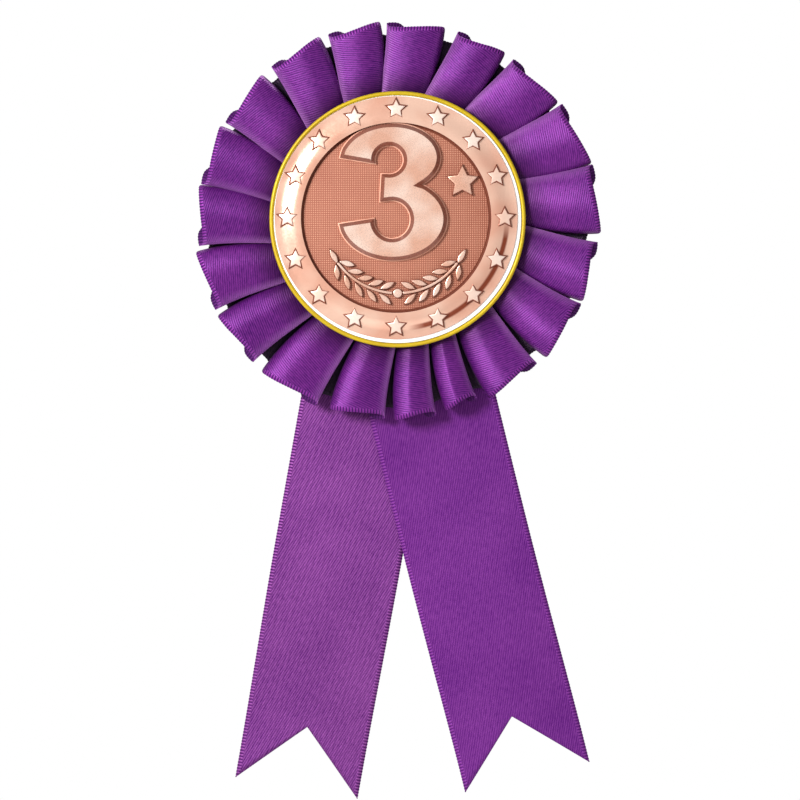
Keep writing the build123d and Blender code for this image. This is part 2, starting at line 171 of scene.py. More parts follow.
def disc_profile(radius, front, back, edge):
    """A disc with rounded edges, from the middle of its front to the middle of its back."""
    turns = [math.pi / 2 * step / 4 for step in range(5)]
    flat = radius - edge
    points = [(0, front), (radius * 0.5, front)]
    points += [(flat + edge * math.sin(turn), front + edge - edge * math.cos(turn)) for turn in turns]
    points += [(flat + edge * math.cos(turn), back - edge + edge * math.sin(turn)) for turn in turns]
    return points + [(radius * 0.5, back), (0, back)]


def relief(name, outlines, front, back, bevel, materials, segments=3, inset=0.0):
    """Flat shapes with rounded or, with no segments, cut edges, drawn in by inset.

    Outlines are (x, z) points about the rosette, anticlockwise, and must not overlap.
    """
    curve = bpy.data.curves.new(name, "CURVE")
    curve.dimensions = "2D"
    curve.fill_mode = "BOTH"
    for outline in outlines:
        spline = curve.splines.new("POLY")
        spline.points.add(len(outline) - 1)
        for point, (x, z) in zip(spline.points, outline):
            point.co = (x, z, 0, 1)
        spline.use_cyclic_u = True
    curve.bevel_depth = bevel
    curve.bevel_resolution = segments
    curve.offset = -bevel - inset
    curve.extrude = (back - front) / 2 - bevel
    holder = bpy.data.objects.new(name + "_outline", curve)
    bpy.context.scene.collection.objects.link(holder)
    bpy.context.view_layer.update()
    graph = bpy.context.evaluated_depsgraph_get()
    mesh = bpy.data.meshes.new_from_object(holder.evaluated_get(graph))
    bpy.data.objects.remove(holder)
    for vertex in mesh.vertices:
        x, z, depth = vertex.co
        vertex.co = (ROSETTE.x + x, (front + back) / 2 - depth, ROSETTE.z + z)
    mesh.materials.clear()
    for material in materials:
        mesh.materials.append(material)
    mesh.name = name
    obj = bpy.data.objects.new(name, mesh)
    bpy.context.scene.collection.objects.link(obj)
    bm = bmesh.new()
    bm.from_mesh(mesh)
    bmesh.ops.remove_doubles(bm, verts=bm.verts, dist=SAME_POINT)
    bmesh.ops.recalc_face_normals(bm, faces=bm.faces)
    bm.to_mesh(mesh)
    bm.free()
    smooth_by_angle(obj, RELIEF_SMOOTH)
    return obj


# ---------------------------------------------------------------- material helpers


class Tree:
    """A short way to write a material's nodes."""

    def __init__(self, name):
        self.material = bpy.data.materials.new(name)
        self.material.use_nodes = True
        self.nodes = self.material.node_tree.nodes
        self.links = self.material.node_tree.links
        self.surface = self.nodes["Principled BSDF"]

    def node(self, kind, inputs=None, **settings):
        made = self.nodes.new("ShaderNode" + kind)
        for key, value in settings.items():
            setattr(made, key, value)
        for key, value in (inputs or {}).items():
            self.put(made.inputs[key], value)
        return made

    def put(self, socket, value):
        if isinstance(value, bpy.types.NodeSocket):
            self.links.new(value, socket)
        else:
            socket.default_value = value

    def set(self, **inputs):
        for key, value in inputs.items():
            self.put(self.surface.inputs[key.replace("_", " ")], value)

    def maths(self, operation, a, b=0.0, c=0.0, clamp=False):
        made = self.node("Math", operation=operation, use_clamp=clamp)
        for socket, value in zip(made.inputs, (a, b, c)):
            self.put(socket, value)
        return made.outputs[0]

    def mapped(self, vector, scale=(1, 1, 1), turn=0.0):
        """A vector scaled, and turned about its third axis by this many degrees."""
        mapping = self.node("Mapping", {"Vector": vector})
        mapping.inputs["Scale"].default_value = scale
        mapping.inputs["Rotation"].default_value = (0, 0, math.radians(turn))
        return mapping.outputs[0]

    def place(self, scale=(1, 1, 1)):
        """Where a point lies in its object's own space, in metres."""
        return self.mapped(self.node("TexCoord").outputs["Object"], scale)

    def apart(self, vector):
        return self.node("SeparateXYZ", {"Vector": vector}).outputs

    def noise(self, vector, scale, detail=3.0, rough=0.55):
        made = self.node("TexNoise", {"Vector": vector, "Scale": scale, "Detail": detail, "Roughness": rough})
        return made.outputs["Fac"]

    def wave(self, vector, pitch, direction="X", distortion=0.0):
        """A sine wave with this pitch, from 0 to 1."""
        made = self.node("TexWave", {"Vector": vector, "Scale": math.pi / 10 / pitch}, wave_type="BANDS")
        made.bands_direction = direction
        made.inputs["Distortion"].default_value = distortion
        return made.outputs["Fac"]

    def spread(self, value, low, high, out_low=0.0, out_high=1.0):
        made = self.node("MapRange", {"Value": value, "From Min": low, "From Max": high})
        made.inputs["To Min"].default_value = out_low
        made.inputs["To Max"].default_value = out_high
        return made.outputs[0]

    def mix(self, factor, a, b):
        made = self.node("Mix", data_type="RGBA")
        self.put(made.inputs["Factor"], factor)
        self.put(made.inputs[6], a)
        self.put(made.inputs[7], b)
        return made.outputs[2]

    def bump(self, height, distance):
        made = self.node("Bump", {"Height": height, "Distance": distance, "Strength": 1.0})
        self.set(Normal=made.outputs[0])


def rgb(red, green, blue):
    """An sRGB colour, 0 to 255, as a linear one."""
    linear = []
    for value in (red, green, blue):
        value /= 255
        linear.append(value / 12.92 if value <= 0.04045 else ((value + 0.055) / 1.055) ** 2.4)
    return (*linear, 1.0)


# ---------------------------------------------------------------- materials

TWILL_PITCH = 0.58 * MM
YARN_SCALE = (620, 1750, 1)
STREAK_PITCH, STREAK_DEGREES = 1.29 * MM, 7
PICOT_PITCH = 0.8 * MM
PICOT_WIDTH = 1.15 * MM
PICOT_R, PICOT_SIDES = 0.13 * MM, 6
NEAR_MEDAL_SHADE = rgb(40, 0, 56)
PAINTED_CREASE_HIGHLIGHT = rgb(178, 118, 192)
THREAD_TINT, SHEEN_TINT = rgb(232, 180, 220), rgb(190, 110, 205)


def satin(name, shade, dark, light, twill_degrees, gloss, twill_depth, streak=0.0, shine=0.35):
    """Woven satin. The UV layer Ribbon runs in metres, x along the ribbon and y across it.

    The UV layer Fold says how open to the light a point is, and how far out it lies. Low openness and points
    near the medal take painted shade; openness above 1 marks a pressed crease, which gets a painted
    highlight.
    """
    t = Tree(name)
    ribbon = t.node("UVMap", uv_map="Ribbon").outputs[0]
    turned = t.mapped(ribbon, turn=twill_degrees)
    twill = t.wave(turned, TWILL_PITCH, "Y", 0.25)
    yarn = t.noise(t.mapped(turned, YARN_SCALE), 1.0, 3.0, 0.6)
    broad = t.noise(t.place(), 60, 2.0)
    threads = t.maths("MULTIPLY_ADD", twill, 0.5, t.maths("MULTIPLY", t.spread(yarn, 0.25, 0.75), 0.5))
    if streak:
        lines = t.wave(t.mapped(ribbon, turn=STREAK_DEGREES), STREAK_PITCH, "Y", 1.4)
        threads = t.maths("MULTIPLY_ADD", lines, streak, t.maths("MULTIPLY", threads, 1 - streak))
    half = RIBBON_WIDTH / 2
    from_middle = t.maths("ABSOLUTE", t.maths("SUBTRACT", t.apart(ribbon)["Y"], half))
    edge = t.spread(from_middle, half - PICOT_WIDTH, half - PICOT_WIDTH * 0.85)
    ticks = t.maths("SMOOTH_MIN", t.maths("MULTIPLY", t.wave(ribbon, PICOT_PITCH), 1.4), 1.0, 0.3)
    woven = t.node("Mix", {"Factor": edge, "A": threads, "B": ticks}).outputs[0]
    mottle = t.maths("MULTIPLY_ADD", broad, 0.4, -0.15)
    tone = t.maths("MULTIPLY_ADD", woven, 0.9, mottle, clamp=True)
    cloth = t.mix(t.spread(tone, 0.15, 0.95), dark, light)
    fold = t.apart(t.node("UVMap", uv_map="Fold").outputs[0])
    openness, outward = fold["X"], fold["Y"]
    cloth = t.mix(t.spread(outward, 0.4, 0.66), NEAR_MEDAL_SHADE, cloth)
    # painted highlight: the crease rows take a lighter colour, fading towards the rim
    pressed = t.spread(openness, 1.05, 1.6, 0.0, 0.9)
    crease = t.maths("MULTIPLY", pressed, t.spread(outward, 0.4, 0.95, 1.0, 0.5))
    folded = t.mix(t.spread(openness, 0.0, 1.0), shade, cloth)
    t.set(Base_Color=t.mix(crease, folded, PAINTED_CREASE_HIGHLIGHT))
    t.set(Roughness=t.spread(yarn, 0.3, 0.7, gloss - 0.05, gloss + 0.07))
    t.set(Metallic=0.6 - shine / 2, Specular_IOR_Level=shine, Specular_Tint=THREAD_TINT)
    t.set(Anisotropic=0.5, Anisotropic_Rotation=0.25)
    t.set(Tangent=t.node("Tangent", direction_type="UV_MAP", uv_map="Ribbon").outputs[0])
    t.set(Sheen_Weight=0.06, Sheen_Roughness=0.4, Sheen_Tint=SHEEN_TINT)
    height = t.node("Mix", {"Factor": edge, "A": t.maths("MULTIPLY", threads, twill_depth), "B": ticks})
    t.bump(height.outputs[0], 0.09 * MM)
    return t.material


def metal(name, colour, shade, roughness, metallic=1.0):
    """Plated metal with faint wear and ripples."""
    t = Tree(name)
    where = t.place()
    patches = t.noise(where, 120, 4.0)
    fine = t.noise(where, 1680, 2.0)
    t.set(Base_Color=t.mix(t.spread(patches, 0.35, 0.7), shade, colour), Metallic=metallic)
    t.set(Roughness=t.spread(fine, 0.3, 0.7, roughness * 0.8, roughness * 1.25))
    t.bump(t.maths("MULTIPLY_ADD", patches, 0.6, t.maths("MULTIPLY", fine, 0.4)), 0.01 * MM)
    return t.material


HATCH_PITCH = 0.57 * MM
# a painted dark reflection on the border's lower right: its radius, where it fades across the band, its turn
# and how far round it reaches
DARK_REFLECTION_R, DARK_REFLECTION_NEAR, DARK_REFLECTION_FAR = 29.0 * MM, 0.4 * MM, 0.85 * MM
DARK_REFLECTION_TURN, DARK_REFLECTION_HALF_TURN, DARK_REFLECTION_END_TURN = math.radians(43), 0.56, 0.72


def bronze(name, colour, shade, painted_shade_and_reflection, dark_reflection=False, gloss=0.28, lacquer=0.4):
    """Bright bronze under lacquer.

    Steep faces take a darker colour as painted shade, and a streak at the border's lower right takes it as a
    painted dark reflection.
    """
    t = Tree(name)
    where = t.place()
    clouds = t.noise(where, 75, 2.0)
    fine = t.noise(where, 1700, 2.0)
    face = t.mix(t.spread(clouds, 0.4, 0.62), shade, colour)
    # steep faces take the darker colour: painted shade on the sides and walls of the relief
    normal = t.apart(t.node("NewGeometry").outputs["True Normal"])
    dark = t.spread(t.maths("ABSOLUTE", normal["Y"]), 0.66, 0.95, 1.0, 0.0)
    if dark_reflection:
        # painted dark reflection: a dark streak along the border's lower right
        place = t.apart(where)
        x = t.maths("SUBTRACT", place["X"], ROSETTE.x + INSERT_SHIFT[0])
        z = t.maths("SUBTRACT", place["Z"], ROSETTE.z + INSERT_SHIFT[1])
        radius = t.maths("SQRT", t.maths("MULTIPLY_ADD", x, x, t.maths("MULTIPLY", z, z)))
        off_band = t.maths("ABSOLUTE", t.maths("SUBTRACT", radius, DARK_REFLECTION_R))
        band = t.spread(off_band, DARK_REFLECTION_NEAR, DARK_REFLECTION_FAR, 1.0, 0.0)
        off_sector = t.maths("ABSOLUTE", t.maths("ADD", t.maths("ARCTAN2", z, x), DARK_REFLECTION_TURN))
        sector = t.spread(off_sector, DARK_REFLECTION_HALF_TURN, DARK_REFLECTION_END_TURN, 1.0, 0.0)
        dark = t.maths("MAXIMUM", dark, t.maths("MULTIPLY", band, sector))
    t.set(Base_Color=t.mix(dark, face, painted_shade_and_reflection), Metallic=0.42)
    t.set(Roughness=t.spread(fine, 0.3, 0.7, gloss - 0.04, gloss + 0.04))
    t.set(Coat_Weight=lacquer, Coat_Roughness=0.12)
    t.bump(fine, 0.004 * MM)
    return t.material


def hatched_metal(name, colour, groove, roughness):
    """Metal with a fine square cross-hatch pressed into it."""
    t = Tree(name)
    where = t.place()
    across = t.wave(where, HATCH_PITCH, "X")
    along = t.wave(where, HATCH_PITCH, "Z")
    weave = t.maths("MULTIPLY", across, along)
    patches = t.noise(where, 90, 3.0)
    tone = t.maths("MULTIPLY_ADD", weave, 0.8, t.maths("MULTIPLY", patches, 0.3), clamp=True)
    t.set(Base_Color=t.mix(t.spread(tone, 0.1, 0.8), groove, colour), Metallic=0.15)
    t.set(Roughness=t.spread(patches, 0.3, 0.7, roughness - 0.05, roughness + 0.05))
    t.bump(weave, 0.09 * MM)
    return t.material


def card(name, colour, shade, roughness, fibre):
    """Paper card with fibres and faint handling marks."""
    t = Tree(name)
    where = t.place()
    clouds = t.noise(where, 70, 4.0)
    fibres = t.noise(t.place(scale=(900, 900, 2400)), 1.0, 4.0, 0.65)
    tone = t.maths("MULTIPLY_ADD", fibres, 0.5, t.maths("MULTIPLY", clouds, 0.5))
    t.set(Base_Color=t.mix(t.spread(tone, 0.35, 0.65), shade, colour))
    t.set(Roughness=t.spread(clouds, 0.3, 0.7, roughness - 0.07, roughness + 0.07))
    t.bump(fibres, fibre * MM)
    return t.material


def foam(name, colour, shade):
    """Closed-cell foam: small pits all over."""
    t = Tree(name)
    cells = t.node("TexVoronoi", {"Vector": t.place(), "Scale": 2600.0}).outputs["Distance"]
    t.set(Base_Color=t.mix(t.spread(cells, 0.1, 0.7), shade, colour))
    t.set(Roughness=t.spread(cells, 0.0, 0.8, 0.9, 0.75))
    t.bump(cells, 0.12 * MM)
    return t.material


def plastic(name, colour, shade, roughness):
    t = Tree(name)
    where = t.place()
    grain = t.noise(where, 1400, 3.0)
    clouds = t.noise(where, 60, 2.0)
    t.set(Base_Color=t.mix(t.spread(clouds, 0.3, 0.7), shade, colour))
    t.set(Roughness=t.spread(grain, 0.3, 0.7, roughness - 0.06, roughness + 0.06))
    t.bump(grain, 0.02 * MM)
    return t.material


def thread(name, colour, shade):
    t = Tree(name)
    twist = t.wave(t.place(), 0.5 * MM, "DIAGONAL")
    t.set(Base_Color=t.mix(twist, shade, colour), Roughness=t.spread(twist, 0, 1, 0.75, 0.5))
    t.bump(twist, 0.06 * MM)
    return t.material


DEEP_SHADE = rgb(18, 16, 32)
BACK_SHADE = rgb(50, 12, 70)
RUFFLE_DARK, RUFFLE_LIGHT = rgb(54, 0, 86), rgb(124, 44, 140)
LEFT_DARK, LEFT_LIGHT = rgb(68, 10, 88), rgb(134, 70, 142)
RIGHT_DARK, RIGHT_LIGHT = rgb(78, 14, 104), rgb(122, 54, 138)
BACK_DARK, BACK_LIGHT = rgb(62, 12, 86), rgb(108, 44, 126)
RUFFLE_SATIN = satin("ruffle_satin", DEEP_SHADE, RUFFLE_DARK, RUFFLE_LIGHT, -22, 0.47, 0.8, shine=0.55)
LEFT_SATIN = satin("left_tail_satin", DEEP_SHADE, LEFT_DARK, LEFT_LIGHT, 23, 0.5, 0.7, streak=0.15)
RIGHT_SATIN = satin("right_tail_satin", DEEP_SHADE, RIGHT_DARK, RIGHT_LIGHT, 23, 0.5, 0.4)
SATIN_BACK = satin("satin_back", BACK_SHADE, BACK_DARK, BACK_LIGHT, 23, 0.6, 0.4)
BRONZE = bronze(
    "bronze", rgb(232, 190, 168), rgb(220, 164, 140), rgb(134, 60, 36), dark_reflection=True, gloss=0.22, lacquer=0.15
)
BRONZE_FACE = bronze("bronze_raised", rgb(234, 205, 189), rgb(214, 163, 139), rgb(126, 54, 32))
BRONZE_STAR = bronze(
    "bronze_stars", rgb(242, 220, 206), rgb(234, 196, 176), rgb(140, 66, 42), gloss=0.36, lacquer=0.15
)
BRONZE_RIDGE = bronze(
    "bronze_ridge", rgb(232, 178, 154), rgb(220, 160, 136), rgb(196, 128, 102), gloss=0.6, lacquer=0.0
)
BRONZE_LINE = bronze(
    "bronze_outline", rgb(132, 70, 48), rgb(118, 60, 42), rgb(104, 50, 32), gloss=0.7, lacquer=0.0
)
BRONZE_FIELD = hatched_metal("bronze_field", rgb(208, 147, 121), rgb(144, 76, 54), 0.65)
GOLD = metal("gold_plate", rgb(200, 172, 12), rgb(188, 156, 10), 0.45, metallic=0.3)
STEEL = metal("nickel_plate", rgb(206, 206, 208), rgb(176, 176, 180), 0.26)
NEEDLE_STEEL = metal("polished_wire", rgb(226, 226, 228), rgb(200, 200, 204), 0.14)
STAPLE_STEEL = metal("staple_wire", rgb(180, 180, 184), rgb(150, 150, 156), 0.35)
WHITE_CARD = card("white_card", rgb(255, 254, 252), rgb(250, 248, 244), 0.5, 0.01)
BACKING_CARD = card("backing_card", rgb(230, 226, 217), rgb(212, 206, 195), 0.7, 0.05)
GREY_BOARD = card("grey_board", rgb(150, 146, 138), rgb(122, 118, 110), 0.85, 0.08)
WHITE_FOAM = foam("white_foam", rgb(240, 240, 236), rgb(205, 205, 200))
HOT_GLUE = plastic("hot_glue", rgb(232, 222, 190), rgb(214, 200, 160), 0.25)
BLACK_PLASTIC = plastic("backplate_plastic", rgb(40, 40, 42), rgb(28, 28, 30), 0.45)
THREAD = thread("purple_thread", rgb(110, 40, 128), rgb(60, 14, 78))


# ---------------------------------------------------------------- ribbon helpers


def curve_through(points, samples):
    """A smooth closed path through rows of numbers, the same number of samples for each row."""
    rows = np.asarray(points, float)
    out = []
    count = len(rows)
    for k in range(count):
        p0, p1, p2, p3 = (rows[(k + d - 1) % count] for d in range(4))
        first, second, third = p2 - p0, 2 * p0 - 5 * p1 + 4 * p2 - p3, 3 * p1 - p0 - 3 * p2 + p3
        for step in range(samples):
            t = step / samples
            out.append(0.5 * (2 * p1 + first * t + second * t * t + third * t**3))
    return np.array(out)


def unit(vectors):
    return vectors / np.maximum(np.linalg.norm(vectors, axis=-1, keepdims=True), 1e-12)


def grid_normals(points, closed):
    """Unit normals of a grid of points, rows running along the ribbon."""
    if closed:
        along = np.roll(points, -1, 0) - np.roll(points, 1, 0)
    else:
        along = np.gradient(points, axis=0)
    across = np.gradient(points, axis=1)
    return unit(np.cross(along, across))


def sheet_mesh(points, uv, closed, flip=False):
    """A ribbon with real thickness: its front, its back and its edges. Returns verts, faces, uvs, slots."""
    rows, columns = points.shape[:2]
    normal = grid_normals(points, closed) * (-1 if flip else 1)
    front, back = points + normal * RIBBON_THICK / 2, points - normal * RIBBON_THICK / 2
    verts = np.concatenate([front.reshape(-1, 3), back.reshape(-1, 3)])
    uvs = np.concatenate([uv.reshape(-1, 4)] * 2)
    shift = rows * columns
    faces, slots = [], []
    last = rows if closed else rows - 1
    for i in range(last):
        n = (i + 1) % rows
        for j in range(columns - 1):
            a, b = i * columns + j, n * columns + j
            c, d = b + 1, a + 1
            quad = (a, d, c, b) if flip else (a, b, c, d)
            faces.append(quad)
            slots.append(0)
            faces.append(tuple(shift + k for k in reversed(quad)))
            slots.append(1)
        for j, forward in ((0, True), (columns - 1, False)):
            a, b = i * columns + j, n * columns + j
            side = (a, a + shift, b + shift, b) if forward != flip else (a, b, b + shift, a + shift)
            faces.append(side)
            slots.append(0)
    if not closed:
        for i, forward in ((0, False), (rows - 1, True)):
            for j in range(columns - 1):
                a, b = i * columns + j, i * columns + j + 1
                side = (a, a + shift, b + shift, b) if forward != flip else (a, b, b + shift, a + shift)
                faces.append(side)
                slots.append(0)
    return verts, faces, uvs, slots


def picot_edge(path, along, across, closed, open_air):
    """The knotted selvage: a fine beaded cord on a ribbon's edge. Returns verts, faces, uvs, slots."""
    lengths = np.linalg.norm(np.diff(path, axis=0), axis=1)
    distance = np.concatenate([[0], np.cumsum(lengths)])
    count = int(distance[-1] / (PICOT_PITCH / 4))
    places = np.linspace(0, distance[-1], count + 1)[: count if closed else count + 1]
    centre = np.stack([np.interp(places, distance, path[:, k]) for k in range(3)], 1)
    lengthwise = np.interp(places, distance, along)
    shown = np.interp(places, distance, open_air)
    heading = unit(np.gradient(centre, axis=0))
    # nearly the depth axis, leaning a little so that it is never parallel to the edge
    side = unit(np.cross(heading, np.array([0.03, 1.0, 0.02])))
    lift = np.cross(side, heading)
    swell = 0.72 + 0.28 * np.cos(2 * np.pi * lengthwise / PICOT_PITCH)
    verts, uvs = [], []
    for k in range(len(centre)):
        for s in range(PICOT_SIDES):
            turn = 2 * math.pi * s / PICOT_SIDES
            reach = PICOT_R * swell[k]
            verts.append(centre[k] + (side[k] * math.cos(turn) * 1.3 + lift[k] * math.sin(turn)) * reach)
            uvs.append((lengthwise[k], across, shown[k], 1.0))
    faces, sides = [], PICOT_SIDES
    rings = len(centre)
    for k in range(rings if closed else rings - 1):
        n = (k + 1) % rings
        for s in range(sides):
            m = (s + 1) % sides
            faces.append((k * sides + s, n * sides + s, n * sides + m, k * sides + m))
    if not closed:
        faces.append(tuple(range(sides)))
        faces.append(tuple((rings - 1) * sides + s for s in reversed(range(sides))))
    return np.array(verts), faces, np.array(uvs), [0] * len(faces)


def merge(parts):
    """Puts several (verts, faces, uvs, slots) together."""
    verts, faces, uvs, slots = [], [], [], []
    shift = 0
    for part_verts, part_faces, part_uvs, part_slots in parts:
        verts.append(part_verts)
        uvs.append(part_uvs)
        faces += [tuple(shift + k for k in face) for face in part_faces]
        slots += list(part_slots)
        shift += len(part_verts)
    return np.concatenate(verts), faces, np.concatenate(uvs), slots


# ---------------------------------------------------------------- ruffle

# Each pleat, anticlockwise from three o'clock: how many degrees wide it came out, how many degrees it
# gapes at the rim, and how many mm its rim reaches past RUFFLE_RIM_R.
PLEAT_WIDTHS = [20, 20, 21, 19, 19, 18, 20, 19, 18, 19, 19, 20, 22, 19, 15, 13, 20, 19, 20]
PLEAT_GAPS = [0.3, 1, 3, 4, 2, 2.5, 3.5, 1.5, 0.3, 1.5, 1.7, 3.5, 3.7, 2.8, 2.9, 3.2, 3, 0.8, 2.6]
PLEAT_REACH = [1.5, 1.1, 0.3, 0.2, 0, 0.2, 0.3, 0.2, 0.7, 0.9, 1.7, 1.7, 1.7, 0.9, 0.8, -0.2, 0.9, 1.4, 1.2]
FIRST_PLEAT_START = -4.0
RUFFLE_INNER_R = 19.5 * MM
RUFFLE_RIM_R = 51.5 * MM
# degrees: how far a pleat's root is turned from its rim, and how far its panel bows between the two
RUFFLE_LEAN, RUFFLE_BOW = 2.2, 1.1
ROOT_HEIGHT, RIM_HEIGHT = 1.3 * MM, 6.7 * MM
PLEAT_SAMPLES = 4
ACROSS_SAMPLES = 26
CREASE_ROW = 9
MOST_OPEN = 1.6
SOFTNESS = 0.25 * MM

# One pleat's section, anticlockwise. Each row: place along the pleat at the root and at the rim, height at
# the root and at the rim as a share of the whole, mm past the rim's circle, and how open to the light. Rows
# past 0.3 of the pleat at the rim close up by its gap. Openness above 1 is the pressed crease, which gets a
# painted highlight; lower openness gets painted shade.
PLEAT_SECTION = [
    (-0.02, -0.01, 0.12, 0.04, -3.1, 0.0),
    (0.01, 0.00, 0.34, 0.28, -1.0, 0.15),
    (0.05, 0.02, 0.62, 0.58, 0.0, 0.8),
    (0.18, 0.08, 0.82, 0.82, 0.0, 1.0),
    (0.40, 0.24, 0.96, 0.97, -0.45, 1.0),
    (0.65, 0.48, 1.00, 1.00, -0.95, 1.0),
    (0.92, 0.76, 0.97, 0.88, -1.35, 1.0),
    (1.10, 0.94, 0.88, 0.73, -1.2, 1.22),
    (1.145, 0.99, 0.80, 0.65, -0.8, 1.5),
    (1.15, 1.00, 0.74, 0.61, -0.35, 1.6),
    (1.12, 0.98, 0.67, 0.57, -0.1, 0.6),
    (0.85, 0.80, 0.58, 0.45, -0.25, 0.3),
    (0.30, 0.66, 0.46, 0.24, -1.9, 0.05),
    (0.17, 0.62, 0.34, 0.15, -2.4, 0.0),
    (0.25, 0.67, 0.20, 0.06, -2.8, 0.0),
    (0.75, 0.86, 0.13, 0.03, -3.2, 0.0),
]


def ruffle_points():
    """The ruffle's middle surface, and each point's place along and across the ribbon."""
    back = back_y("ruffle_ribbon")
    share = np.linspace(0, 1, ACROSS_SAMPLES)
    rise = 1 - (1 - share) ** 1.45
    start = FIRST_PLEAT_START
    keys = []
    for k, (width, gap, longer) in enumerate(zip(PLEAT_WIDTHS, PLEAT_GAPS, PLEAT_REACH)):
        closing = 1 - gap / width
        lap = 0.11 * math.sin(math.radians(start + width)) - 0.01
        tall = 1 + 0.05 * math.sin(2.3 * k + 0.6)
        for root, rim, root_height, rim_height, reach, open_air in PLEAT_SECTION:
            root_angle = start + width * (root + lap if root > 0.5 else root)
            rim_angle = start + width * (rim * closing if rim > 0.3 else rim)
            keys.append((root_angle, rim_angle, root_height, rim_height * tall, reach + longer, open_air))
        start += width
    keys = np.array(keys)
    # the closed path passes 360 degrees once, so the two angles are unrolled by that much on the way round
    keys[:, :2] -= (np.arange(len(keys)) * 360.0 / len(keys))[:, None]
    path = curve_through(keys, PLEAT_SAMPLES)
    path[:, :2] += (np.arange(len(path)) * 360.0 / len(path))[:, None]
    seen = np.clip((share - 0.35) / 0.65, 0, 1)
    bow = RUFFLE_BOW * 4 * seen * (1 - seen)
    rows = []
    for root, rim, root_height, rim_height, reach, _ in path:
        angle = np.radians(root + (rim - root) * share + RUFFLE_LEAN * (1 - share) - bow)
        radius = RUFFLE_INNER_R + (RUFFLE_RIM_R + reach * MM - RUFFLE_INNER_R) * share
        low, high = root_height * ROOT_HEIGHT, rim_height * RIM_HEIGHT
        height = low + (high - low) * rise + RIBBON_THICK
        x = ROSETTE.x + radius * np.cos(angle)
        z = ROSETTE.z + radius * np.sin(angle)
        rows.append(np.stack([x, back - height, z], 1))
    points = np.array(rows)
    for row in points:
        for j, point in enumerate(row):
            soft = noise.noise(Vector(point) * 95.0) + 0.4 * noise.noise(Vector(point) * 260.0)
            point[1] += SOFTNESS * soft * share[j]
    # each column's length is measured from the pleat's crease, so the weave runs straight over a panel
    step = np.linalg.norm(np.diff(points, axis=0, prepend=points[-1:]), axis=2)
    step[0] = 0
    along = np.cumsum(step, axis=0)
    per_pleat = len(PLEAT_SECTION) * PLEAT_SAMPLES
    crease = CREASE_ROW * PLEAT_SAMPLES
    uv = np.zeros((*points.shape[:2], 4))
    for k in range(len(PLEAT_WIDTHS)):
        rows = slice(k * per_pleat, (k + 1) * per_pleat)
        middle_row = k * per_pleat + crease
        uv[rows, :, 0] = along[rows] - along[middle_row] + along[middle_row, -1]
    uv[..., 1] = share[None, :] * RIBBON_WIDTH
    uv[..., 2] = np.clip(path[:, 5], 0, MOST_OPEN)[:, None]
    uv[..., 3] = share[None, :]
    return points, uv, along[:, -1]


def make_ruffle():
    points, uv, along = ruffle_points()
    sheet = sheet_mesh(points, uv, True, flip=True)
    rim = np.concatenate([points[:, -1], points[:1, -1]])
    length = float(along[-1] + np.linalg.norm(points[0, -1] - points[-1, -1]))
    open_air = np.clip(np.append(uv[:, -1, 2], uv[0, -1, 2]), 0, 1)
    edge = picot_edge(rim, np.append(along, length), RIBBON_WIDTH, True, open_air)
    verts, faces, uvs, slots = merge([sheet, edge])
    ruffle = add_mesh("pleated_ruffle", verts, faces, uvs, slots, (RUFFLE_SATIN, SATIN_BACK))
    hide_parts("ruffle_ribbon")
    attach(ruffle, "root")


# ---------------------------------------------------------------- tails


TAIL_TOP = 4.0 * MM
TAIL_COLUMNS, STRAIGHT_ROWS, CUT_ROWS = 33, 118, 16


def make_tail(side, lean, offset, tips, notch, shape, satin_material):
    """One tail, whole, from between the cards to its swallowtail, its free part bowing sideways and in depth.

    lean is in degrees to the right, and tips and notch are how far the two points and the cut reach from the
    rosette's centre.
    """
    anchor, tail = side + "_streamer_anchor", side + "_streamer"
    depth = middle(tail).y
    slope = math.radians(lean)
    down = np.array([math.sin(slope), 0, -math.cos(slope)])
    wide = np.array([math.cos(slope), 0, math.sin(slope)])
    origin = np.array([ROSETTE.x + offset, depth, ROSETTE.z])
    cut_start = notch - 12 * MM
    across = np.linspace(-0.5, 0.5, TAIL_COLUMNS)
    open_air = np.ones(TAIL_COLUMNS)
    rows, uv_rows = [], []
    for i in range(STRAIGHT_ROWS + CUT_ROWS):
        if i < STRAIGHT_ROWS:
            reach = np.full(TAIL_COLUMNS, TAIL_TOP + (cut_start - TAIL_TOP) * i / STRAIGHT_ROWS)
        else:
            share = (i - STRAIGHT_ROWS) / (CUT_ROWS - 1)
            end = notch + (tips - notch) * 2 * np.abs(across)
            reach = cut_start + (end - cut_start) * share
        bow = np.array([shape(r, a) for r, a in zip(reach, across)])
        place = origin + np.outer(reach, down) + np.outer(across * RIBBON_WIDTH, wide)
        place += np.outer(bow[:, 0], wide)
        place[:, 1] += bow[:, 1]
        rows.append(place)
        uv_rows.append(np.stack([reach, (across + 0.5) * RIBBON_WIDTH, open_air, open_air], 1))
    points, uv = np.array(rows), np.array(uv_rows)
    parts = [sheet_mesh(points, uv, False)]
    for column in (0, TAIL_COLUMNS - 1):
        along, side_place, shown, _ = uv[:, column].T
        parts.append(picot_edge(points[:, column], along, side_place[0], False, shown))
    verts, faces, uvs, slots = merge(parts)
    ribbon = add_mesh(side + "_tail_ribbon", verts, faces, uvs, slots, (satin_material, SATIN_BACK))
    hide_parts(anchor, tail)
    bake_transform(ribbon)


def ease(value, low, high):
    share = min(1.0, max(0.0, (value - low) / (high - low)))
    return share * share * (3 - 2 * share)


LEFT_FREE_FROM, RIGHT_FREE_FROM, FREE_BY = 84 * MM, 58 * MM, 150 * MM


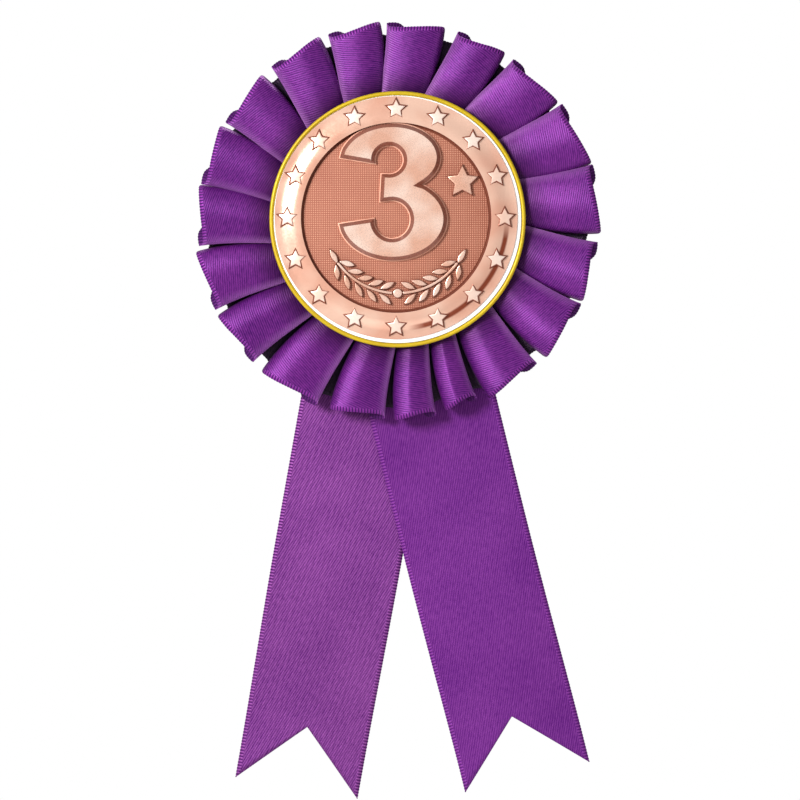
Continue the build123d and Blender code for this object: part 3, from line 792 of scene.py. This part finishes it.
def left_shape(reach, across):
    """How far the left tail strays sideways and backwards."""
    free = ease(reach, LEFT_FREE_FROM, FREE_BY)
    wave = math.sin((reach - LEFT_FREE_FROM) / (26 * MM) + across * 1.2)
    curl = 4 * across * across
    return (-0.5 * MM * free * across * 2, free * (0.9 * MM + 0.5 * MM * wave + 0.9 * MM * curl))


def right_shape(reach, across):
    """How far the right tail strays sideways and forwards."""
    free = ease(reach, RIGHT_FREE_FROM, FREE_BY)
    wave = math.sin((reach - RIGHT_FREE_FROM) / (24 * MM) - across * 1.4)
    curl = 4 * across * across
    return (0.9 * MM * free * free, -free * (1.2 * MM + 0.6 * MM * wave - 1.0 * MM * curl))


# ---------------------------------------------------------------- medallion


def arc(x, z, half_w, half_h, first, last, count):
    """Points along an ellipse's arc, angles in degrees."""
    return [
        (x + half_w * math.cos(math.radians(a)), z + half_h * math.sin(math.radians(a)))
        for a in np.linspace(first, last, count)
    ]


def star(x, z, radius, waist=0.5):
    corners = []
    for step in range(10):
        reach = radius if step % 2 == 0 else radius * waist
        turn = math.radians(90 + 36 * step)
        corners.append((x + reach * math.cos(turn), z + reach * math.sin(turn)))
    return corners


def leaf(x, z, long, wide, tilt):
    """A pointed leaf along a direction, in degrees."""
    outline = []
    for step in range(16):
        share = step / 8 if step < 8 else 2 - step / 8
        side = -1 if step < 8 else 1
        along = long * (2 * share - 1)
        bulge = side * wide * math.sin(math.pi * share) ** 0.9 * (1 - 0.25 * (share - 0.4))
        outline.append((along, bulge))
    turn = math.radians(tilt)
    return [
        (x + a * math.cos(turn) - b * math.sin(turn), z + a * math.sin(turn) + b * math.cos(turn))
        for a, b in outline
    ]


INSERT_R, FIELD_THICK = 31.75 * MM, 1.0 * MM
# the border starts at BORDER_R, BORDER_RISE above the field, and falls outwards
BORDER_R, BORDER_RISE, BORDER_SLOPE, BORDER_STEPS = 24.7 * MM, 1.3 * MM, 0.165, 24
STAR_COUNT, STAR_ORBIT, STAR_R, STAR_FOOT = 16, 28.4 * MM, 2.8 * MM, 0.38 * MM
LONE_STAR_PLACE, LONE_STAR_R = (16.9 * MM, 9.8 * MM), 4.6 * MM
NUMERAL_SHIFT = (-1.25, 7.1)


def numeral_outline():
    """A plain bold 3 in mm, drawn from two ellipses and two round counters.

    Its corners stay 1.7 mm or more from the next point, so that the cut edge doesn't cross itself there.
    """
    points = [(-14.25, 8.7)] + arc(0, 7.8, 14.3, 10.4, 163, 92, 26)
    points += arc(0, 9.0, 12.75, 9.2, 89, -49.5, 44)
    points += arc(0, -7.1, 14.5, 11.1, 55, -164, 58) + [(-14.45, -8.05), (-4.66, -6.55)]
    points += arc(-0.2, -7.2, 4.5, 4.7, -166, 105, 32)
    points += [(-3.7, -2.85), (-3.3, 5.0)]
    points += arc(-0.95, 8.4, 3.45, 3.42, -102, 184, 32) + [(-4.15, 7.0)]
    points.reverse()
    return [((x + NUMERAL_SHIFT[0]) * MM, (z + NUMERAL_SHIFT[1]) * MM) for x, z in points]


LAUREL_R = 19.3 * MM
LEAF_PAIRS, FIRST_PAIR, PAIR_STEP, TIP_LEAF = 5, 9, 10, 60
LEAF_LONG, LEAF_WIDE, LEAF_SPLAY, LEAF_OFF = 2.3 * MM, 0.85 * MM, 34, 1.75 * MM
STEM_START, STEM_END, STEM_HALF, KNOT_R = 4, 54, 0.4 * MM, 1.3 * MM


def laurel_outlines():
    """Two sprays of five pairs of leaves and one at the tip. No two leaves overlap."""
    pairs = [(FIRST_PAIR + PAIR_STEP * k, edge) for k in range(LEAF_PAIRS) for edge in (-1, 1)]
    leaves = []
    for side in (-1, 1):
        for along, edge in pairs + [(TIP_LEAF, 0)]:
            turn = math.radians(-90 + side * along)
            reach = LAUREL_R + edge * LEAF_OFF
            tilt = along + edge * LEAF_SPLAY
            if side < 0:
                tilt = 180 - tilt
            leaves.append(leaf(reach * math.cos(turn), reach * math.sin(turn), LEAF_LONG, LEAF_WIDE, tilt))
    return leaves


def stem_outline(side):
    first, last = sorted((-90 + side * STEM_START, -90 + side * STEM_END))
    outer, inner = LAUREL_R + STEM_HALF, LAUREL_R - STEM_HALF
    return arc(0, 0, outer, outer, first, last, 24) + arc(0, 0, inner, inner, last, first, 24)


def tilt_ring(ring):
    """Lean each star of the ring with the border's fall."""
    for vertex in ring.data.vertices:
        x = vertex.co.x - ROSETTE.x - INSERT_SHIFT[0]
        z = vertex.co.z - ROSETTE.z - INSERT_SHIFT[1]
        spacing = 2 * math.pi / STAR_COUNT
        turn = math.pi / 2 + spacing * round((math.atan2(z, x) - math.pi / 2) / spacing)
        vertex.co.y += BORDER_SLOPE * 0.8 * (x * math.cos(turn) + z * math.sin(turn) - STAR_ORBIT)


def make_insert():
    """The embossed bronze disc: border, field, stars, numeral and laurel."""
    back = back_y("medal_insert")
    field = back - FIELD_THICK
    dx, dz = INSERT_SHIFT
    centre = ROSETTE + Vector((dx, 0, dz))
    # the disc's materials, in the order that lathe gets them
    field_slot, border_slot, line_slot = 1, 2, 3
    profile, slots = [(0, field), (BORDER_R - 0.6 * MM, field)], [field_slot]
    profile += [(BORDER_R - 0.3 * MM, field + 0.12 * MM), (BORDER_R, field - 0.1 * MM)]
    slots += [line_slot] * 2
    width = INSERT_R - BORDER_R - 0.15 * MM
    for step in range(BORDER_STEPS + 1):
        share = step / BORDER_STEPS
        fall = BORDER_SLOPE * width * (share - math.sin(2 * math.pi * share) / (2 * math.pi))
        profile.append((INSERT_R - width + width * share, field - BORDER_RISE + fall))
        slots.append(border_slot)
    profile += [(INSERT_R, field), (INSERT_R, back), (0, back)]
    slots += [border_slot] * 4
    disc = lathe("bronze_disc", profile, (BRONZE_FACE, BRONZE_FIELD, BRONZE, BRONZE_LINE), centre, 256, slots)
    smooth_by_angle(disc, INSERT_SMOOTH)

    def raised(name, outlines, height, root, bevel, material, *shape):
        """A relief from root up to this many mm above the insert's back."""
        return relief(name, outlines, back - height * MM, root, bevel * MM, (material,), *shape)

    ring, outer_ring = [], []
    for k in range(STAR_COUNT):
        turn = math.pi / 2 + 2 * math.pi * k / STAR_COUNT
        x, z = dx + STAR_ORBIT * math.cos(turn), dz + STAR_ORBIT * math.sin(turn)
        ring.append(star(x, z, STAR_R))
        outer_ring.append(star(x, z, STAR_R + STAR_FOOT))
    stars = raised("stars", ring, 2.3, field, 0.4, BRONZE_STAR)
    star_feet = raised("star_feet", outer_ring, 1.93, field, 0.15, BRONZE_LINE, 2)
    tilt_ring(stars)
    tilt_ring(star_feet)
    sunk = field + 0.4 * MM
    lone = raised("lone_star", [star(*LONE_STAR_PLACE, LONE_STAR_R)], 2.2, sunk, 0.5, BRONZE_FACE)
    outline = numeral_outline()
    foot = raised("numeral_foot", [outline], 1.45, sunk, 0.2, BRONZE_RIDGE, 2)
    numeral = raised("numeral", [outline], 3.1, field + 0.6 * MM, 0.95, BRONZE_FACE, 0, 0.35 * MM)
    leaves = raised("laurel", laurel_outlines(), 2.1, sunk, 0.4, BRONZE_FACE)
    stem_root = field + 0.3 * MM
    stems = [raised("stem", [stem_outline(side)], 1.8, stem_root, 0.25, BRONZE_FACE) for side in (-1, 1)]
    knot = arc(0, -LAUREL_R, KNOT_R, KNOT_R, 0, 345, 24)
    stems.append(raised("knot", [knot], 2.1, stem_root, 0.4, BRONZE_FACE))
    insert = join("embossed_insert", [disc, stars, star_feet, lone, foot, numeral, leaves, *stems])
    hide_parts("medal_insert")
    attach(insert, "root")


def stand_in(name, node, profile, material, steps=192):
    """A turned piece, on the root body, that shows in place of a CAD node."""
    piece = lathe(name, profile, (material,), steps=steps)
    smooth_by_angle(piece, TURNED_SMOOTH)
    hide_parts(node)
    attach(piece, "root")
    return piece


def round_size(node):
    """A round CAD node's radius, the y of its front and the y of its back."""
    low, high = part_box(node)
    return (high.x - low.x) / 2, low.y, high.y


def make_rim():
    """The gold ring: a round bead on a flat-backed band."""
    outer, front, back = round_size("medallion_rim")
    bore = outer - 1.1 * MM
    bead = (outer - bore) / 2
    shoulder, broken = front + bead, 0.15 * MM
    profile = [(bore, back), (bore, shoulder)]
    for step in range(1, 12):
        turn = math.pi * step / 12
        profile.append((bore + bead - bead * math.cos(turn), shoulder - bead * math.sin(turn)))
    profile += [(outer, shoulder), (outer, back - broken), (outer - broken, back), (bore, back)]
    stand_in("gold_ring", "medallion_rim", profile, GOLD, 256)


def make_discs():
    """The back disc, the cards, and the foam disc with its pinched edge."""
    for name, node, edge, material, slot in (
        ("medallion_back_disc", "medallion_backplate", 0.2, BLACK_PLASTIC, "backplate_plastic"),
        ("backing_card", "back_card", 0.12, BACKING_CARD, "white_card"),
        ("core_board", "core_card", 0.12, GREY_BOARD, "grey_board"),
    ):
        radius, front, back = round_size(node)
        stand_in(name, node, disc_profile(radius, front, back, edge * MM), material)
    # the white card's raised lip shows between the ring and the insert
    radius, front, back = round_size("medallion_card")
    radius -= 0.02 * MM
    lip = front_y("medallion_rim") + 0.06 * MM
    profile = [(0, front), (radius - 2 * MM, front), (radius - 1.8 * MM, lip + 0.1 * MM)]
    profile += [(radius - 1.7 * MM, lip), (radius - 0.15 * MM, lip), (radius, lip + 0.15 * MM)]
    profile += [(radius, back), (0, back)]
    stand_in("medallion_white_card", "medallion_card", profile, WHITE_CARD)
    radius, front, back = round_size("medallion_foam")
    profile = [(0, front), (radius - 0.4 * MM, front)]
    for step in range(9):
        share = step / 8
        pinch = 0.5 * MM * math.sin(math.pi * share)
        profile.append((radius - pinch, front + 0.1 * MM + (back - front - 0.2 * MM) * share))
    profile += [(radius - 0.4 * MM, back), (0, back)]
    pad = stand_in("medallion_foam_disc", "medallion_foam", profile, WHITE_FOAM)


# ---------------------------------------------------------------- pin


def stadium(length, width):
    half, radius = length / 2 - width / 2, width / 2
    return arc(half, 0, radius, radius, -90, 90, 14) + arc(-half, 0, radius, radius, 90, 270, 14)


def make_pin_pad():
    low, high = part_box("pin_pad")
    centre = (low + high) / 2 - ROSETTE
    outline = [(x + centre.x, z + centre.z) for x, z in stadium(high.x - low.x, high.z - low.z)]
    pad = relief("pin_foam_pad", [outline], low.y, high.y, 0.12 * MM, (WHITE_FOAM,))
    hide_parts("pin_pad")
    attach(pad, "root")


def finish_cad(node, material, bevel):
    """A CAD node that stays: its material, welded normals and edges broken by bevel, in mm."""
    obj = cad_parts[node]
    obj.data.materials.clear()
    obj.data.materials.append(material)
    for polygon in obj.data.polygons:
        polygon.use_smooth = True
        polygon.material_index = 0
    weld = obj.modifiers.new("weld", "WELD")
    weld.merge_threshold = WELD_DISTANCE
    if bevel:
        broken = obj.modifiers.new("edges", "BEVEL")
        broken.width = bevel * MM
        broken.segments = 2
        broken.limit_method = "ANGLE"
        broken.angle_limit = math.radians(40)


# ---------------------------------------------------------------- making everything

make_ruffle()
make_tail("left", -10.1, 0.0, 151.2 * MM, 135.0 * MM, left_shape, LEFT_SATIN)
make_tail("right", 13.8, -2.8 * MM, 150.5 * MM, 134.1 * MM, right_shape, RIGHT_SATIN)
make_insert()
make_rim()
make_discs()
make_pin_pad()
for node, material, bevel in (
    ("pin_base", STEEL, 0.08),
    ("pin_rivet", STEEL, 0.12),
    ("pin_arm", NEEDLE_STEEL, 0.08),
    ("pin_catch", STEEL, 0.08),
    ("staples", STAPLE_STEEL, 0.0),
    ("glue_dots", HOT_GLUE, 0.08),
    ("hub_card", GREY_BOARD, 0.0),
    ("gathering_thread", THREAD, 0.0),
):
    finish_cad(node, material, bevel)

# ---------------------------------------------------------------- floor, light and camera

CAMERA_DISTANCE = 3.0
MEDAL_PLANE = -0.010
VIEW_WIDTH = 0.2092
VIEW_CENTRE = ROSETTE + Vector((0.63 * MM, 0, -47.2 * MM))
SENSOR = 36.0
FLOOR_RADIUS, FLOOR_DROP, FLOOR_CENTRE_Y = 0.25, 9 * MM, -0.012
SKY_TOWARD = Vector((-0.7, -0.6, 0.4)).normalized()
SKY_DARK, SKY_BRIGHT, SKY_STRENGTH = (0.16, 0.15, 0.15, 1), (1.0, 1.0, 1.0, 1), 0.62


def make_floor():
    """A pale round plate below the tails, to take the shadow."""
    t = Tree("pale_floor")
    grain = t.noise(t.place(), 400, 3.0)
    t.set(Base_Color=t.mix(grain, rgb(224, 223, 221), rgb(230, 229, 227)), Roughness=0.8)
    level = cad_low.z - FLOOR_DROP
    verts, faces, steps = [], [], 96
    for reach, height in (
        (FLOOR_RADIUS - 2 * MM, 0),
        (FLOOR_RADIUS, -2 * MM),
        (FLOOR_RADIUS, -6 * MM),
    ):
        for k in range(steps):
            turn = 2 * math.pi * k / steps
            verts.append((reach * math.cos(turn), FLOOR_CENTRE_Y + reach * math.sin(turn), level + height))
    faces.append(tuple(range(steps)))
    for ring in range(2):
        for k in range(steps):
            n = (k + 1) % steps
            faces.append((ring * steps + k, (ring + 1) * steps + k, (ring + 1) * steps + n, ring * steps + n))
    faces.append(tuple(2 * steps + k for k in reversed(range(steps))))
    floor = add_mesh("floor", verts, faces, materials=(t.material,), smooth=False)


def make_world():
    """White to the camera; to light and reflections, a dome that is bright at the upper left in front."""
    world = bpy.data.worlds.new("studio")
    bpy.context.scene.world = world
    world.use_nodes = True
    nodes, links = world.node_tree.nodes, world.node_tree.links
    lit = nodes["Background"]
    direction = nodes.new("ShaderNodeTexCoord")
    toward = nodes.new("ShaderNodeVectorMath")
    toward.operation = "DOT_PRODUCT"
    toward.inputs[1].default_value = SKY_TOWARD
    links.new(direction.outputs["Generated"], toward.inputs[0])
    ramp = nodes.new("ShaderNodeValToRGB")
    span = nodes.new("ShaderNodeMapRange")
    span.inputs["From Min"].default_value = -1
    links.new(toward.outputs["Value"], span.inputs["Value"])
    links.new(span.outputs[0], ramp.inputs[0])
    for stop, position, colour in zip(ramp.color_ramp.elements, (0.1, 0.9), (SKY_DARK, SKY_BRIGHT)):
        stop.position = position
        stop.color = colour
    links.new(ramp.outputs[0], lit.inputs["Color"])
    lit.inputs["Strength"].default_value = SKY_STRENGTH
    seen = nodes.new("ShaderNodeBackground")
    seen.inputs["Color"].default_value = (1, 1, 1, 1)
    seen.inputs["Strength"].default_value = 1.0
    path = nodes.new("ShaderNodeLightPath")
    choose = nodes.new("ShaderNodeMixShader")
    links.new(path.outputs["Is Camera Ray"], choose.inputs[0])
    links.new(lit.outputs[0], choose.inputs[1])
    links.new(seen.outputs[0], choose.inputs[2])
    links.new(choose.outputs[0], nodes["World Output"].inputs[0])


def make_light(name, place, size, power):
    """A round lamp this far from the rosette, facing it. size is in metres, power in watts."""
    light = bpy.data.lights.new(name, "AREA")
    light.shape = "DISK"
    light.size = size
    light.energy = power
    lamp = bpy.data.objects.new(name, light)
    bpy.context.scene.collection.objects.link(lamp)
    lamp.location = ROSETTE + Vector(place)
    lamp.rotation_mode = "QUATERNION"
    lamp.rotation_quaternion = (-Vector(place)).to_track_quat("-Z", "Y")


def make_camera():
    data = bpy.data.cameras.new("camera")
    data.sensor_width = SENSOR
    data.lens = SENSOR / 2 / (VIEW_WIDTH / 2 / CAMERA_DISTANCE)
    data.clip_start, data.clip_end = 0.05, 20
    camera = bpy.data.objects.new("camera", data)
    bpy.context.scene.collection.objects.link(camera)
    camera.location = VIEW_CENTRE + Vector((0, MEDAL_PLANE - CAMERA_DISTANCE, 0))
    camera.rotation_euler = (math.pi / 2, 0, 0)
    bpy.context.scene.camera = camera


make_floor()
make_world()
make_light("key", (-0.56, -0.8, 0.22), 0.3, 12.0)
make_light("right", (0.8, -0.45, -0.1), 0.3, 0.9)
make_light("back", (0.25, 0.5, 0.85), 0.6, 11.0)
make_camera()
bpy.context.scene.view_settings.view_transform = "Standard"
